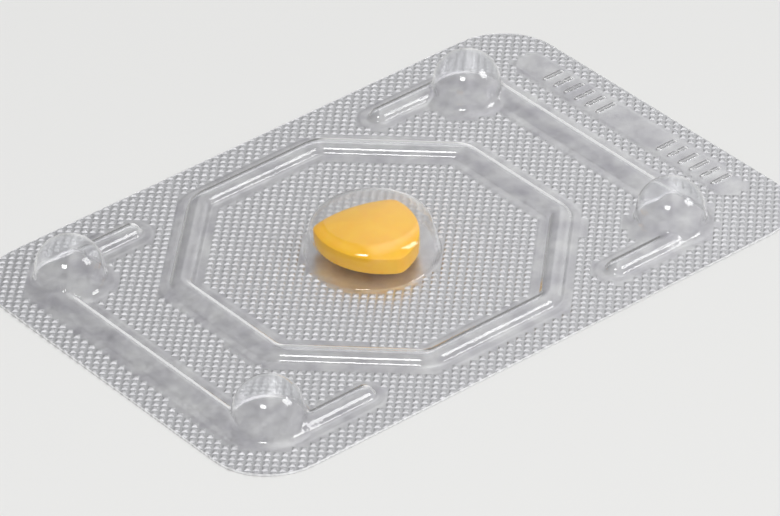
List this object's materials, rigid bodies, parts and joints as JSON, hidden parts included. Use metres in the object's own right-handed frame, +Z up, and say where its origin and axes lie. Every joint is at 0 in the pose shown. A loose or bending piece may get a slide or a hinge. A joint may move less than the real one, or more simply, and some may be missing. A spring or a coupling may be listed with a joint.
{
  "type": "pill blister pack",
  "caption": "Clear formed film sealed to aluminium foil around a shield-shaped tablet, with an octagonal rib, edge ribs and corner domes.",
  "frame": {"origin": "middle of the pack's outline, on the foil's underside", "axes": "+X along the long edges, towards the plain strip; +Y along the short edges; +Z up, out of the formed side"},
  "size_m": [0.075, 0.0504, 0.0054],
  "materials": {
    "clear_film": "clear gloss",
    "foil": "knurled satin foil",
    "tablet_coat": "film coat"
  },
  "bodies": {
    "root": {"blister_film": "clear_film", "lidding_foil": "foil", "tablet": "tablet_coat"}
  },
  "joints": []
}
